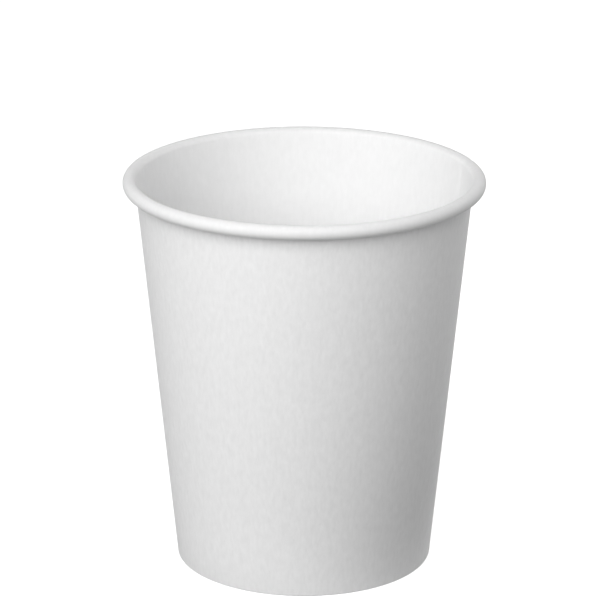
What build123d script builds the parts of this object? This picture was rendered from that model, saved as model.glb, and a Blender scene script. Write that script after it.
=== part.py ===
# Paper coffee cup, 8 oz size, single wall
#
# The cup is two pieces of coated board. The side wall is a fan-shaped blank
# wrapped into a cone: its ends are lapped and sealed, its top edge is rolled
# outwards into the rim, and its bottom edge is folded in and up as a hem. The
# base pan is a round blank whose skirt is held between the wall and the hem.
#
# Millimetres, +Z up. The origin is the middle of the cup on the table.
from build123d import *
import os
from math import asin, atan2, cos, degrees, hypot, radians, sin, tan

# Driving sizes of the cup
rim_diameter = 80.0
cup_height = 88.5
foot_diameter = 57.0
recess_depth = 7.0

# Board and the melted film that seals it
wall_board = 0.35
base_board = 0.28
film_seal = 0.02

# Rolled rim
curl_diameter = 3.1
curl_turn = 260.0
tail_turn = 60.0
roll_play = 0.08

# Arcs are short flats, each turned from the last by about this angle
roll_flat = 30.0
crease_flat = 45.0

# Side seam, with the inner end of the sheet at the seam's azimuth
seam_azimuth = 17.0
lap_width = 7.0
step_width = 1.4

# Folded foot and base pan
pan_bend = 0.8
hem_stop = 0.3
skirt_stop = 0.15

# Rolled rim: the middle of the roll, and the tighter radius of its tail, which
# leaves room beside the wall for the lap's second layer
curl_radius = curl_diameter / 2
curl_x = rim_diameter / 2 - curl_radius
curl_z = cup_height - curl_radius
tail_radius = curl_radius - (2 * wall_board + roll_play) / (1 - cos(radians(curl_turn)))

# Lean of the wall: its outer face runs from the foot to a tangent on the roll
foot_radius = foot_diameter / 2
rise_angle = atan2(curl_x - foot_radius, curl_z)
tuck_angle = asin((curl_radius - wall_board) / hypot(curl_x - foot_radius, curl_z))
lean = rise_angle - tuck_angle

# The roll turns up to its top, over to its widest point and under, so that flats meet at both
roll_turns = (90 - degrees(lean), 90, curl_turn - 180 + degrees(lean))

# Room between the wall and the hem for the pan's skirt
skirt_room = base_board + 2 * film_seal
hem_top = recess_depth + base_board - pan_bend - hem_stop
skirt_foot = wall_board + skirt_stop

# Angles that the lap and the step beside it take round the cup
middle_radius = (rim_diameter + foot_diameter) / 4
lap_angle = degrees(lap_width / middle_radius)
step_angle = degrees(step_width / middle_radius)


def wall_face(z, inward):
    """Radius at height z of a face that lies this far inside the wall's outer face."""
    return foot_radius + z * tan(lean) - inward / cos(lean)


def plane_at(azimuth):
    """Upright plane through the cup's axis, with its x axis pointing out at this azimuth."""
    angle = radians(azimuth)
    return Plane((0, 0, 0), x_dir=(cos(angle), sin(angle), 0), z_dir=(sin(angle), -cos(angle), 0))


def flat_points(edge, flat_angle):
    """Points along a line or an arc after its start, with each flat of an arc turned by about this angle."""
    turn = 0 if edge.geom_type == GeomType.LINE else degrees(edge.length / edge.radius)
    flats = max(1, round(turn / flat_angle))
    return [edge @ (step / flats) for step in range(1, flats + 1)]


def crease_points(path):
    """Points along a path of lines and creases."""
    edges = path.order_edges()
    return [edges[0] @ 0] + [point for edge in edges for point in flat_points(edge, crease_flat)]


def board_face(lift, level, bend, tail):
    """Draw one face of the sheet, from the hem's edge round the fold, up the wall and round the roll.

    lift is how far it lies outside the wall's film face. level is its height in the fold,
    and bend its radius there. Returns the two ends of the face.
    """
    wall_depth = wall_board - lift
    hem_depth = wall_board + skirt_room + lift
    roll = curl_radius - lift
    fold = FilletPolyline(
        (wall_face(hem_top, hem_depth), hem_top),
        (wall_face(level, hem_depth), level),
        (wall_face(level, wall_depth), level),
        (curl_x - roll * cos(lean), curl_z + roll * sin(lean)),
        radius=bend,
        mode=Mode.PRIVATE,
    )
    points = crease_points(fold)
    turns = [(roll, turn) for turn in roll_turns]
    if tail:
        turns.append((tail_radius - lift, tail_turn))
    edge = fold
    for radius, turn in turns:
        edge = JernArc(edge @ 1, edge % 1, radius, -turn, mode=Mode.PRIVATE)
        points += flat_points(edge, roll_flat)
    Polyline(*points)
    return points[0], points[-1]


def board_section(azimuth, lift, tail):
    """Section of the sheet at this azimuth, lying this far outside the body of the wall.

    The film side is creased sharp in the fold. The back turns round it, no higher up the
    hem than the board is thick, and stands on the table, also where the sheet is lapped,
    because the fold is pressed flat there.
    """
    back_lift = lift + wall_board
    fold_bend = back_lift * tan(radians(45) - lean / 2)
    with BuildSketch(plane_at(azimuth)) as section:
        with BuildLine():
            film = board_face(lift, level=wall_board, bend=0, tail=tail)
            back = board_face(back_lift, level=0, bend=fold_bend, tail=tail)
            Line(film[0], back[0])
            Line(film[1], back[1])
        make_face()
    return section.sketch


def pan_face(depth):
    """Draw one face of the pan, this far under its film face, from the middle to the skirt's edge."""
    floor = recess_depth + base_board - depth
    inward = wall_board + film_seal + depth
    path = FilletPolyline(
        (0, floor),
        (wall_face(floor, inward), floor),
        (wall_face(skirt_foot, inward), skirt_foot),
        radius=pan_bend - depth,
        mode=Mode.PRIVATE,
    )
    points = crease_points(path)
    Polyline(*points)
    return points[0], points[-1]


# Side wall: once round as a single layer, a step up over its own inner end, and the lap
with BuildPart() as side_wall:
    layer = board_section(seam_azimuth + step_angle, lift=0, tail=True)
    revolve(layer, axis=Axis.Z, revolution_arc=360 - step_angle)
    step_foot = board_section(seam_azimuth + step_angle, lift=0, tail=False)
    flap = board_section(seam_azimuth, lift=wall_board, tail=False)
    loft([step_foot, flap], ruled=True)
    revolve(flap, axis=Axis.Z, revolution_arc=-lap_angle)
side_wall.part.label = "side_wall"

# Base pan: a flat floor, a bend, and a skirt that follows the wall down to the fold
with BuildPart() as base_pan:
    with BuildSketch(Plane.XZ):
        with BuildLine():
            top = pan_face(0)
            under = pan_face(base_board)
            Line(top[0], under[0])
            Line(top[1], under[1])
        make_face()
    revolve(axis=Axis.Z)
base_pan.part.label = "base_pan"

os.makedirs("parts", exist_ok=True)
export_step(side_wall.part, "parts/side_wall.step")
export_step(base_pan.part, "parts/base_pan.step")
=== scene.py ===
# Paper coffee cup: its finished board, and the light, floor and camera it is seen with
#
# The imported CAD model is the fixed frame. Each piece here is modelled as by hand, in metres,
# where the frame's own piece lies, and stands for it.
from math import asin, atan2, cos, hypot, radians, sin, tan

import bpy
from bpy.props import FloatProperty, FloatVectorProperty, IntProperty, PointerProperty
from bpy.types import NodeSocket, Operator, Panel, PropertyGroup
from mathutils import Matrix, Vector


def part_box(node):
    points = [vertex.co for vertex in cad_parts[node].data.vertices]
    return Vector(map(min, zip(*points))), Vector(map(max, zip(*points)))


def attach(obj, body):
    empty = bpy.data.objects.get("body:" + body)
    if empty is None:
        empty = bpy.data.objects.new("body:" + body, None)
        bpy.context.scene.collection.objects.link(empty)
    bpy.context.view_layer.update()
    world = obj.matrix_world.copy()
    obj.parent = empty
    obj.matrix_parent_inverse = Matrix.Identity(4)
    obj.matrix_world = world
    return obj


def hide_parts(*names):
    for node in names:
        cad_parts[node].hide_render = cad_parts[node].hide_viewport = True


bl_info = {
    "name": "Paper Coffee Cup",
    "version": (1, 0, 0),
    "blender": (4, 5, 0),
    "location": "3D View > Sidebar > Paper Cup",
    "description": "Builds a single-wall paper cup from two pieces of coated board, on a studio stage",
    "category": "Add Mesh",
}

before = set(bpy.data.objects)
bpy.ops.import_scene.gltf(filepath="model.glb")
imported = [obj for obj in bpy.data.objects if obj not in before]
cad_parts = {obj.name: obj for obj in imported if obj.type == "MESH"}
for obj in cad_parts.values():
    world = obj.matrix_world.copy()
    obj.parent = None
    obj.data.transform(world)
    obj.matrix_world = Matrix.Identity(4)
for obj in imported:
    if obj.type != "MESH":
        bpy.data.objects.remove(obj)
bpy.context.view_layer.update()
wall_low, wall_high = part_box("side_wall")
pan_low, pan_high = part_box("base_pan")

MM = 0.001


# Settings that a user would change

def length(name, description, default):
    """A length in metres, shown in the scene's unit."""
    return FloatProperty(name=name, description=description, default=default, unit="LENGTH", precision=5)


def turn(name, description, default):
    """An angle given in degrees and kept in radians."""
    return FloatProperty(name=name, description=description, default=radians(default), unit="ROTATION")


def power(name, description, default):
    """Power of a light in watts."""
    return FloatProperty(name=name, description=description, default=default, min=0, unit="POWER")


def linear(code):
    """Scene-linear colour of an sRGB hex code."""
    shares = [int(code[place:place + 2], 16) / 255 for place in (0, 2, 4)]
    return [share / 12.92 if share <= 0.04045 else ((share + 0.055) / 1.055) ** 2.4 for share in shares]


def colour(name, description, code):
    """A colour given as an sRGB hex code."""
    return FloatVectorProperty(name=name, description=description, default=linear(code), subtype="COLOR",
                               min=0, max=1)


class CupSizes(PropertyGroup):
    """Real sizes of the cup and of the board that it is folded from"""

    rim_diameter: length("Rim", "Diameter across the outside of the rolled rim", wall_high.y - wall_low.y)
    cup_height: length("Height", "Height from the table to the top of the rim", wall_high.z)
    foot_diameter: length("Foot", "Diameter that the wall's outer face has at the table", 57 * MM)
    floor_top: length("Floor", "Height of the base's upper face above the table", pan_high.z)
    skirt_foot: length("Skirt foot", "Height of the edge of the base's skirt", pan_low.z)
    wall_board: length("Wall board", "Thickness of the side wall's board", 0.35 * MM)
    base_board: length("Base board", "Thickness of the base's board", 0.28 * MM)
    film_seal: length("Seal", "Thickness of the melted film between sealed faces", 0.02 * MM)
    curl_diameter: length("Roll", "Diameter of the rolled rim's section", 3.1 * MM)
    roll_play: length("Roll play", "Room between the roll's tail and the lapped wall", 0.08 * MM)
    curl_turn: turn("Roll turn", "Angle of the roll before its tail", 260)
    tail_turn: turn("Tail turn", "Angle of the tighter tail inside the roll", 60)
    seam_azimuth: turn("Seam", "Azimuth of the inner end of the lapped sheet", 17)
    lap_width: length("Lap", "Width of the double layer in the side seam", 7 * MM)
    step_width: length("Step", "Width over which the stiff sheet climbs onto its own end", 2.4 * MM)
    fold_bend: length("Fold", "Radius of the foot's fold at the middle of the board", 0.19 * MM)
    pan_bend: length("Base bend", "Radius of the base's bend on its upper face", 0.8 * MM)
    hem_stop: length("Hem stop", "Drop from the base's bend to the hem's edge", 0.3 * MM)
    knurl_pitch: length("Knurl pitch", "Spacing of the ridges that press the hem tight", 1.44 * MM)
    knurl_depth: length("Knurl depth", "Depth of those ridges", 0.09 * MM)


class CupFinish(PropertyGroup):
    """Colours and mesh fineness"""

    board: colour("Board", "Uncoated bleached cupstock, outside", "F0F0F0")
    film: colour("Film", "Polyethylene-coated cupstock, inside", "F3F3F3")
    core: colour("Core", "Cut edge of the board", "EFEBE2")
    floor: colour("Table", "Opal acrylic light table", "F7F7F7")
    card: colour("Card", "Black card under the table", "171717")
    columns: IntProperty(name="Columns", description="Columns of faces once round the cup", default=480,
                         min=48)


class StageSizes(PropertyGroup):
    """Place of the camera, as seen in the photograph, and of the table's card, and strength of the lights"""

    elevation: turn("Elevation", "Height of the camera above the horizon", 18.43)
    distance: length("Distance", "From the camera to the point on the axis that it looks at", 817.1 * MM)
    aim_height: length("Aim", "Height of that point above the table", 59.3 * MM)
    yaw: turn("Yaw", "Small turn of the camera to its left", 0.064)
    roll: turn("Roll", "Small turn of the camera about its view", 0.102)
    lens: FloatProperty(name="Lens", description="Focal length for a 36 mm sensor", default=220.5)
    floor_size: length("Table", "Side of the square light table", 6000 * MM)
    card_depth: length("Card depth", "Depth of the black card under the table's face", 1 * MM)
    card_gap: length("Card gap", "Gap between the cup's foot and that card", 9 * MM)
    card_length: length("Card", "Length of that card, outwards from the foot", 85 * MM)
    card_width: length("Card width", "Width of that card", 150 * MM)
    card_bearing: turn("Card bearing", "Where it lies round the cup, to the right of the camera", 38)
    sky: FloatProperty(name="Sky", description="Strength of the even light of the white room", default=0.35)
    glow: FloatProperty(name="Glow", description="Strength of the opal table's own light", default=0.6)
    key: power("Key", "Power of the large softbox ahead of the cup", 2.7)
    front: power("Front", "Power of the softbox close ahead", 1.68)
    left: power("Left", "Power of the softbox close by at the left", 1.13)
    back: power("Back", "Power of the low softbox behind at the right", 1.12)


# Lines of the folded board

class BoardLines:
    """Radii, heights and angles of the board's sections that follow from the sizes, as in the CAD source"""

    def __init__(self, sizes):
        self.sizes = sizes
        self.half = sizes.wall_board / 2
        self.curl_radius = sizes.curl_diameter / 2
        self.curl_x = sizes.rim_diameter / 2 - self.curl_radius
        self.curl_z = sizes.cup_height - self.curl_radius
        self.foot_radius = sizes.foot_diameter / 2
        tail_room = 2 * sizes.wall_board + sizes.roll_play
        self.tail_radius = self.curl_radius - tail_room / (1 - cos(sizes.curl_turn))
        run = self.curl_x - self.foot_radius
        tuck = asin((self.curl_radius - sizes.wall_board) / hypot(run, self.curl_z))
        self.lean = atan2(run, self.curl_z) - tuck
        self.skirt_room = sizes.base_board + 2 * sizes.film_seal
        self.fold_top = self.half + sizes.fold_bend
        self.hem_top = sizes.floor_top - sizes.pan_bend - sizes.hem_stop
        self.roll_start = self.curl_x - self.curl_radius * cos(self.lean)
        middle_radius = (sizes.rim_diameter + sizes.foot_diameter) / 4
        self.lap_angle = sizes.lap_width / middle_radius
        self.step_angle = sizes.step_width / middle_radius

    def radius(self, height, inward):
        """Radius at this height of a line that lies this far inside the wall's outer face."""
        return self.foot_radius + height * tan(self.lean) - inward / cos(self.lean)


def around(azimuth, radius, height):
    """Point at this azimuth, radius and height."""
    return Vector((radius * cos(azimuth), radius * sin(azimuth), height))


# Modelling as by hand, in edit mode

# Faces along each stretch of the wall's line and of the base's, and cuts across the seam's step
WALL_STEPS = {"hem": 4, "fold": 5, "wall": 12, "roll": 36, "tail": 8}
PAN_STEPS = {"skirt": 4, "bend": 7, "disc": 8}
SEAM_CUTS = 3

# Share of a column of faces within which a vertex counts as being at an azimuth
COLUMN_PLAY = 0.25

# Vertices closer than this are one, and edges with a wider turn than this stay sharp
WELD_GAP = MM / 1000
SHARP_TURN = radians(35)

# Share of the knurl's pitch that is pressed in
RIDGE_SHARE = 0.5


def start_line(name, point):
    """Start a piece as a single vertex at a point, in edit mode."""
    bpy.ops.object.select_all(action="DESELECT")
    bpy.ops.mesh.primitive_plane_add(size=MM, location=point)
    bpy.ops.object.transform_apply(location=True, rotation=True, scale=True)
    piece = bpy.context.object
    piece.name = piece.data.name = name
    bpy.ops.object.mode_set(mode="EDIT")
    bpy.ops.mesh.select_all(action="SELECT")
    bpy.ops.mesh.merge(type="CENTER")
    return piece


def run_to(start, end, steps=1):
    """Extrude the end of the line straight on to a point, in equal steps."""
    for _ in range(steps):
        bpy.ops.mesh.extrude_vertices_move(TRANSFORM_OT_translate={"value": (end - start) / steps})


def bend(azimuth, centre, angle, steps):
    """Spin the end of the line about a centre in its upright plane, inwards over the top if positive."""
    across = (-sin(azimuth), cos(azimuth), 0)
    bpy.ops.mesh.spin(steps=steps, angle=angle, center=centre, axis=across)


def spin_round(angle, steps):
    """Spin the line round the cup's axis, to larger azimuths if positive, and select its last copy."""
    bpy.ops.mesh.select_all(action="SELECT")
    bpy.ops.mesh.spin(steps=steps, angle=-angle, center=(0, 0, 0), axis=(0, 0, 1))


def select_where(piece, test):
    """Select the vertices whose place passes a test, and nothing else."""
    bpy.ops.mesh.select_all(action="DESELECT")
    bpy.ops.mesh.select_mode(type="VERT")
    bpy.ops.object.mode_set(mode="OBJECT")
    for vertex in piece.data.vertices:
        vertex.select = test(vertex.co)
    bpy.ops.object.mode_set(mode="EDIT")


def finish_board(piece, board, node):
    """Give a sheet its thickness, both its finishes and its cut edges, and set it in the frame."""
    bpy.ops.mesh.select_all(action="SELECT")
    bpy.ops.mesh.remove_doubles(threshold=WELD_GAP)
    bpy.ops.mesh.normals_make_consistent(inside=False)
    bpy.ops.object.mode_set(mode="OBJECT")
    for material in (film_material(), board_material(), core_material()):
        piece.data.materials.append(material)
    thickness = piece.modifiers.new("Board", "SOLIDIFY")
    thickness.thickness = board
    thickness.offset = 0
    thickness.use_even_offset = True
    thickness.material_offset = 1
    thickness.material_offset_rim = 2
    bpy.ops.object.modifier_apply(modifier=thickness.name)
    bpy.ops.object.shade_smooth_by_angle(angle=SHARP_TURN)
    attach(piece, "root")
    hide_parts(node)


def wall_line(lines, name, azimuth, lift):
    """Draw the middle of the wall's board at an azimuth, lifted off the body of the wall by this much.

    The line runs down the hem, round the fold at the foot, up the wall, round the roll and into its tail.
    """
    sizes = lines.sizes
    hem_depth = sizes.wall_board + lines.skirt_room + lines.half + lift
    wall_depth = lines.half - lift
    fold = sizes.fold_bend + lift
    fold_level = lines.half + fold
    roll = lines.curl_radius - lines.half - lift
    tail = lines.tail_radius - lines.half - lift

    def point(radius, height):
        return around(azimuth, radius, height)

    def beside(radius, height, distance):
        return point(radius - distance * cos(lines.lean), height + distance * sin(lines.lean))

    hem = (lines.radius(fold_level, hem_depth - fold), fold_level)
    foot = (lines.radius(fold_level, wall_depth + fold), fold_level)
    hem_edge = point(lines.radius(lines.hem_top, hem_depth), lines.hem_top)
    piece = start_line(name, hem_edge)
    run_to(hem_edge, beside(*hem, fold), WALL_STEPS["hem"])
    bend(azimuth, point(*hem), radians(90) + lines.lean, WALL_STEPS["fold"])
    run_to(point(hem[0], lines.half), point(foot[0], lines.half))
    bend(azimuth, point(*foot), radians(90) - lines.lean, WALL_STEPS["fold"])
    run_to(beside(*foot, -fold), beside(lines.curl_x, lines.curl_z, roll), WALL_STEPS["wall"])
    bend(azimuth, point(lines.curl_x, lines.curl_z), -sizes.curl_turn, WALL_STEPS["roll"])
    under = radians(180) - lines.lean - sizes.curl_turn
    tail_shift = roll - tail
    tail_centre = point(lines.curl_x + tail_shift * cos(under), lines.curl_z + tail_shift * sin(under))
    bend(azimuth, tail_centre, -sizes.tail_turn, WALL_STEPS["tail"])
    return piece


def lift_lapped_fold(piece, lines, column):
    """Lift the fold of the sheet's inner end by the film that seals the lap's fold over it."""
    sizes = lines.sizes
    lap_start = sizes.seam_azimuth - lines.lap_angle - column
    lap_end = sizes.seam_azimuth + COLUMN_PLAY * column

    def in_lap(place):
        return place.z < lines.fold_top and lap_start < atan2(place.y, place.x) < lap_end

    select_where(piece, in_lap)
    bpy.ops.transform.translate(value=(0, 0, sizes.film_seal))


def press_knurl(piece, lines):
    """Press the hem's ridges in towards the axis, as the knurled tool that closes the foot leaves them."""
    sizes = lines.sizes
    hem_radius = lines.radius(lines.hem_top / 2, sizes.wall_board + lines.skirt_room + sizes.wall_board)
    ridge_angle = sizes.knurl_pitch / hem_radius
    wall_side = sizes.wall_board + lines.skirt_room / 2

    def on_ridge(place):
        in_hem = place.z > lines.fold_top and place.xy.length < lines.radius(place.z, wall_side)
        return in_hem and atan2(place.y, place.x) / ridge_angle % 1 < RIDGE_SHARE

    select_where(piece, on_ridge)
    shrink = 1 - sizes.knurl_depth / hem_radius
    bpy.ops.transform.resize(value=(shrink, shrink, 1), center_override=(0, 0, 0))


class PAPERCUP_OT_side_wall(Operator):
    """Model the side wall as one sheet: folded at the foot, rolled at the rim and lapped onto its own end"""

    bl_idname = "papercup.side_wall"
    bl_label = "Side wall"

    def execute(self, context):
        sizes = context.scene.paper_cup_sizes
        lines = BoardLines(sizes)
        column = radians(360) / context.scene.paper_cup_finish.columns

        # The lap. Its last column of vertices, beside the step, stays selected
        lift = sizes.wall_board + sizes.film_seal
        flap = wall_line(lines, "flap", sizes.seam_azimuth - lines.lap_angle, lift)
        spin_round(lines.lap_angle, round(lines.lap_angle / column))
        bpy.ops.object.mode_set(mode="OBJECT")

        # The single layer, from the sheet's inner end once round to the foot of the step
        wall = wall_line(lines, "cup_wall", sizes.seam_azimuth, 0)
        once_round = radians(360) - lines.step_angle
        spin_round(-once_round, round(once_round / column))
        lift_lapped_fold(wall, lines, column)
        wall_end = sizes.seam_azimuth + lines.step_angle
        select_where(wall, lambda place: abs(atan2(place.y, place.x) - wall_end) < COLUMN_PLAY * column)
        bpy.ops.object.mode_set(mode="OBJECT")

        # The step between them
        flap.select_set(True)
        bpy.ops.object.join()
        bpy.ops.object.mode_set(mode="EDIT")
        bpy.ops.mesh.bridge_edge_loops(number_cuts=SEAM_CUTS, interpolation="SURFACE", smoothness=1)
        press_knurl(wall, lines)
        finish_board(wall, sizes.wall_board, "side_wall")
        return {"FINISHED"}


class PAPERCUP_OT_base_pan(Operator):
    """Model the base: a flat floor, a bend, and a skirt that is held between the wall and the hem"""

    bl_idname = "papercup.base_pan"
    bl_label = "Base"

    def execute(self, context):
        sizes = context.scene.paper_cup_sizes
        lines = BoardLines(sizes)
        depth = sizes.wall_board + sizes.film_seal + sizes.base_board / 2
        level = sizes.floor_top - sizes.base_board / 2
        curve = sizes.pan_bend - sizes.base_board / 2
        corner = (lines.radius(level - curve, depth + curve), level - curve)
        skirt_top = around(0, corner[0] + curve * cos(lines.lean), corner[1] - curve * sin(lines.lean))
        skirt_edge = around(0, lines.radius(sizes.skirt_foot, depth), sizes.skirt_foot)

        pan = start_line("cup_base", skirt_edge)
        run_to(skirt_edge, skirt_top, PAN_STEPS["skirt"])
        bend(0, around(0, *corner), radians(90) + lines.lean, PAN_STEPS["bend"])
        run_to(around(0, corner[0], level), around(0, 0, level), PAN_STEPS["disc"])
        spin_round(radians(360), context.scene.paper_cup_finish.columns // 2)
        finish_board(pan, sizes.base_board, "base_pan")
        return {"FINISHED"}


# Finishes of the cup and of the stage

# A fibre is some 0.02 mm wide, too fine to show, so small tufts of fibres are drawn
TUFT_WIDTH = 0.35 * MM

# Relief of the tufts, as a share of the relief of the clouds
TUFT_RELIEF = 1 / 3

# The grain runs up the wall, which draws the clouds out to about three times their width
GRAIN_SHARE = 0.35

# Share of its tone that the board keeps over the roll under painted shade, which tones down the roll's
# highlight, and the width in which it changes
ROLL_PAINTED_SHADE_TONE = 0.91
ROLL_BLEND = 0.6 * MM

# Refraction of paper fibre and of polyethylene, and of acrylic
BOARD_IOR = 1.5
ACRYLIC_IOR = 1.49

# Width of the clouds in the light table's ground face
GRIND_WIDTH = 40 * MM


def add_node(tree, kind, settings=None, inputs=None):
    """Add a node with its settings, and set each input's value or link it to a socket."""
    node = tree.nodes.new(kind)
    for name, value in (settings or {}).items():
        setattr(node, name, value)
    for name, value in (inputs or {}).items():
        if isinstance(value, NodeSocket):
            tree.links.new(value, node.inputs[name])
        else:
            node.inputs[name].default_value = value
    return node


def start_material(name):
    """Start a material. Returns it, its emptied node tree, and the socket of its Object coordinates."""
    material = bpy.data.materials.new(name)
    material.use_nodes = True
    tree = material.node_tree
    tree.nodes.clear()
    return material, tree, add_node(tree, "ShaderNodeTexCoord").outputs["Object"]


def add_surface(tree, variation, roughness, gloss, inputs):
    """Add the shader with these inputs. A variation between 0 and 1 moves its roughness by up to gloss."""
    sheen = add_node(tree, "ShaderNodeMapRange",
                     inputs={"Value": variation, "To Min": roughness - gloss, "To Max": roughness + gloss})
    shader = add_node(tree, "ShaderNodeBsdfPrincipled",
                      inputs={"Roughness": sheen.outputs["Result"], **inputs})
    add_node(tree, "ShaderNodeOutputMaterial", inputs={"Surface": shader.outputs["BSDF"]})


def paint_shade_on_roll(tree, place, tint):
    """Darken a tint over the roll with painted shade, which tones down the roll's highlight."""
    roll_start = BoardLines(bpy.context.scene.paper_cup_sizes).roll_start
    level = add_node(tree, "ShaderNodeVectorMath", {"operation": "MULTIPLY"}, {0: place, 1: (1, 1, 0)})
    reach = add_node(tree, "ShaderNodeVectorMath", {"operation": "LENGTH"}, {0: level.outputs["Vector"]})
    painted_shade = add_node(tree, "ShaderNodeMapRange",
                       inputs={"Value": reach.outputs["Value"], "From Min": roll_start,
                               "From Max": roll_start + ROLL_BLEND, "To Min": 1, "To Max": ROLL_PAINTED_SHADE_TONE})
    shaded_tint = add_node(tree, "ShaderNodeVectorMath", {"operation": "SCALE"},
                      {0: tint, "Scale": painted_shade.outputs["Result"]})
    return shaded_tint.outputs["Vector"]


def add_relief(tree, clouds, tufts, relief):
    """Add the low relief of the clouds, with the finer relief of the tufts on it."""
    cockle = add_node(tree, "ShaderNodeBump", inputs={"Height": clouds, "Strength": 1, "Distance": relief})
    felt = add_node(tree, "ShaderNodeBump",
                    inputs={"Height": tufts, "Strength": 1, "Distance": relief * TUFT_RELIEF,
                            "Normal": cockle.outputs["Normal"]})
    return felt.outputs["Normal"]


def paper_material(name, tone, spread, roughness, gloss, relief, clump):
    """Felted board: clouds of tone, gloss and relief drawn out along the grain, and fine tufts of fibres.

    spread is the clouds' change of tone to either side, and clump their width.
    """
    material = bpy.data.materials.get(name)
    if material:
        return material
    material, tree, place = start_material(name)
    light = (*[min(1, share * (1 + spread)) for share in tone], 1)
    dark = (*[share * (1 - spread) for share in tone], 1)
    grain = add_node(tree, "ShaderNodeMapping", inputs={"Vector": place, "Scale": (1, 1, GRAIN_SHARE)})
    drawn_out = grain.outputs["Vector"]
    clouds = add_node(tree, "ShaderNodeTexNoise",
                      inputs={"Vector": drawn_out, "Scale": 1 / clump, "Detail": 4, "Roughness": 0.6})
    tufts = add_node(tree, "ShaderNodeTexNoise",
                     inputs={"Vector": drawn_out, "Scale": 1 / TUFT_WIDTH, "Detail": 2})
    tint = add_node(tree, "ShaderNodeMix", {"data_type": "RGBA"},
                    {"Factor": clouds.outputs["Fac"], "A": dark, "B": light})
    # Over the roll the tint is darkened with painted shade
    add_surface(tree, clouds.outputs["Fac"], roughness, gloss,
                {"Base Color": paint_shade_on_roll(tree, place, tint.outputs["Result"]), "IOR": BOARD_IOR,
                 "Normal": add_relief(tree, clouds.outputs["Fac"], tufts.outputs["Fac"], relief)})
    return material


def board_material():
    """Bleached cupstock, uncoated and calendered: white and matte, with faint clouds of thicker fibres."""
    tone = bpy.context.scene.paper_cup_finish.board
    return paper_material("bleached_cupstock", tone, spread=0.092, roughness=0.85, gloss=0.05,
                          relief=0.01 * MM, clump=0.8 * MM)


def film_material():
    """Polyethylene film melted onto cupstock: the same clouds, fainter, under a soft satin gloss."""
    tone = bpy.context.scene.paper_cup_finish.film
    return paper_material("polyethylene_film", tone, spread=0.05, roughness=0.8, gloss=0.06,
                          relief=0.006 * MM, clump=0.9 * MM)


def core_material():
    """Cut cupstock: bare fibres, slightly warmer and rougher than the board's faces."""
    tone = bpy.context.scene.paper_cup_finish.core
    return paper_material("cut_board_edge", tone, spread=0.12, roughness=0.95, gloss=0.03,
                          relief=0.02 * MM, clump=0.5 * MM)


def floor_material():
    """Opal acrylic light table, cast and fine-ground: pale and matte, and lit a little from below."""
    scene = bpy.context.scene
    tone = (*scene.paper_cup_finish.floor, 1)
    material, tree, place = start_material("opal_acrylic_light_table")
    ground = add_node(tree, "ShaderNodeTexNoise", inputs={"Vector": place, "Scale": 1 / GRIND_WIDTH})
    add_surface(tree, ground.outputs["Fac"], roughness=0.8, gloss=0.05,
                inputs={"Base Color": tone, "IOR": ACRYLIC_IOR, "Emission Color": tone,
                        "Emission Strength": scene.paper_cup_stage.glow})
    return material


def card_material():
    """Black card, dyed through: it swallows nearly all light, and its nap leaves hardly any gloss."""
    tone = (*bpy.context.scene.paper_cup_finish.card, 1)
    material, tree, place = start_material("black_card")
    tufts = add_node(tree, "ShaderNodeTexNoise", inputs={"Vector": place, "Scale": 1 / TUFT_WIDTH})
    add_surface(tree, tufts.outputs["Fac"], roughness=0.95, gloss=0.05,
                inputs={"Base Color": tone, "IOR": BOARD_IOR})
    return material


# Stage

# Each softbox is square. Its bearing is to the right of the camera, its height above the horizon
SOFTBOXES = {
    "key": {"side": 1000 * MM, "reach": 1500 * MM, "bearing": radians(-15), "height": radians(35)},
    "front": {"side": 450 * MM, "reach": 600 * MM, "bearing": radians(-12), "height": radians(35)},
    "left": {"side": 450 * MM, "reach": 600 * MM, "bearing": radians(-45), "height": radians(35)},
    "back": {"side": 450 * MM, "reach": 600 * MM, "bearing": radians(140), "height": radians(17)},
}


def add_floor(stage):
    """Add the light table that the cup stands on.

    The photograph's white ground sends no light back onto the cup. So this one doesn't either,
    and the room's even light reaches the cup from below as well.
    """
    bpy.ops.mesh.primitive_plane_add(size=stage.floor_size, location=(0, 0, 0))
    floor = bpy.context.object
    floor.name = floor.data.name = "light_table"
    floor.data.materials.append(floor_material())
    floor.visible_diffuse = False


def add_card(stage, foot_radius):
    """Add a black card under the table, which keeps the room's light off the cup's lower right."""
    bearing = stage.card_bearing
    out = foot_radius + stage.card_gap + stage.card_length / 2
    place = (out * sin(bearing), -out * cos(bearing), -stage.card_depth)
    bpy.ops.mesh.primitive_plane_add(size=1, location=place, rotation=(0, 0, bearing - radians(90)))
    card = bpy.context.object
    card.name = card.data.name = "black_card"
    card.scale = (stage.card_length, stage.card_width, 1)
    bpy.ops.object.transform_apply(location=True, rotation=True, scale=True)
    card.data.materials.append(card_material())
    card.visible_camera = False


def add_camera(stage, aim):
    """Add the camera at the photograph's viewing angle, turned to a point but for a small yaw and roll."""
    back = Vector((0, -cos(stage.elevation), sin(stage.elevation)))
    bpy.ops.object.camera_add(location=aim + stage.distance * back)
    camera = bpy.context.object
    tilt = Matrix.Rotation(radians(90) - stage.elevation, 3, "X")
    turned = tilt @ Matrix.Rotation(stage.yaw, 3, "Y") @ Matrix.Rotation(stage.roll, 3, "Z")
    camera.rotation_euler = turned.to_euler()
    camera.data.lens = stage.lens
    camera.data.clip_end = stage.floor_size
    bpy.context.scene.camera = camera


def add_room(stage):
    """Add the white room, whose even light comes from all round."""
    room = bpy.data.worlds.new("white_room")
    room.use_nodes = True
    background = room.node_tree.nodes["Background"]
    background.inputs["Color"].default_value = (1, 1, 1, 1)
    background.inputs["Strength"].default_value = stage.sky
    bpy.context.scene.world = room
    bpy.context.scene.view_settings.view_transform = "Standard"


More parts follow.
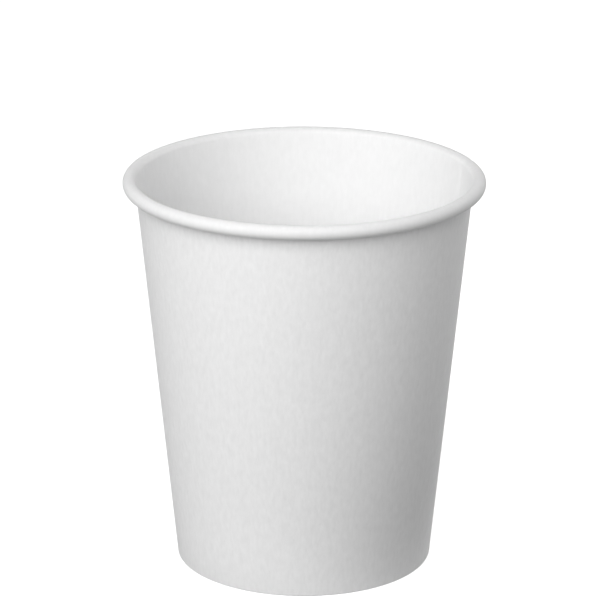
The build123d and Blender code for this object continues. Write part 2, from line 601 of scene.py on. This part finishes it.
def add_softbox(name, watts, aim, side, reach, bearing, height):
    """Add a square softbox turned to a point, and keep it out of the camera's sight."""
    outward = Vector((sin(bearing) * cos(height), -cos(bearing) * cos(height), sin(height)))
    place = aim + reach * outward
    bpy.ops.object.light_add(type="AREA", location=place)
    light = bpy.context.object
    light.name = light.data.name = name + "_softbox"
    light.data.energy = watts
    light.data.size = side
    light.rotation_euler = (aim - place).to_track_quat("-Z", "Y").to_euler()
    light.visible_camera = False


class PAPERCUP_OT_stage(Operator):
    """Add the pale floor, the soft studio light and the camera at the photograph's viewing angle"""

    bl_idname = "papercup.stage"
    bl_label = "Stage"

    def execute(self, context):
        stage = context.scene.paper_cup_stage
        aim = Vector((0, 0, stage.aim_height))
        bpy.ops.object.select_all(action="DESELECT")
        add_floor(stage)
        add_card(stage, context.scene.paper_cup_sizes.foot_diameter / 2)
        add_camera(stage, aim)
        add_room(stage)
        for name, place in SOFTBOXES.items():
            add_softbox(name, getattr(stage, name), aim, **place)
        return {"FINISHED"}


class PAPERCUP_PT_sidebar(Panel):
    """The cup's pieces, sizes and finishes, in the 3D view's sidebar"""

    bl_idname = "PAPERCUP_PT_sidebar"
    bl_label = "Paper Coffee Cup"
    bl_space_type = "VIEW_3D"
    bl_region_type = "UI"
    bl_category = "Paper Cup"

    def draw(self, context):
        for operator in OPERATORS:
            self.layout.operator(operator.bl_idname)
        for group in GROUPS:
            box = self.layout.box()
            settings = getattr(context.scene, group)
            for name in settings.bl_rna.properties.keys():
                if name not in ("rna_type", "name"):
                    box.prop(settings, name)


OPERATORS = (PAPERCUP_OT_stage, PAPERCUP_OT_side_wall, PAPERCUP_OT_base_pan)
GROUPS = {"paper_cup_sizes": CupSizes, "paper_cup_finish": CupFinish, "paper_cup_stage": StageSizes}
CLASSES = (*GROUPS.values(), *OPERATORS, PAPERCUP_PT_sidebar)


def register():
    for kind in CLASSES:
        bpy.utils.register_class(kind)
    for name, kind in GROUPS.items():
        setattr(bpy.types.Scene, name, PointerProperty(type=kind))


def unregister():
    for name in GROUPS:
        delattr(bpy.types.Scene, name)
    for kind in reversed(CLASSES):
        bpy.utils.unregister_class(kind)


def main():
    """Build the stage and the cup."""
    register()
    bpy.ops.papercup.stage()
    bpy.ops.papercup.side_wall()
    bpy.ops.papercup.base_pan()


if __name__ == "__main__":
    main()
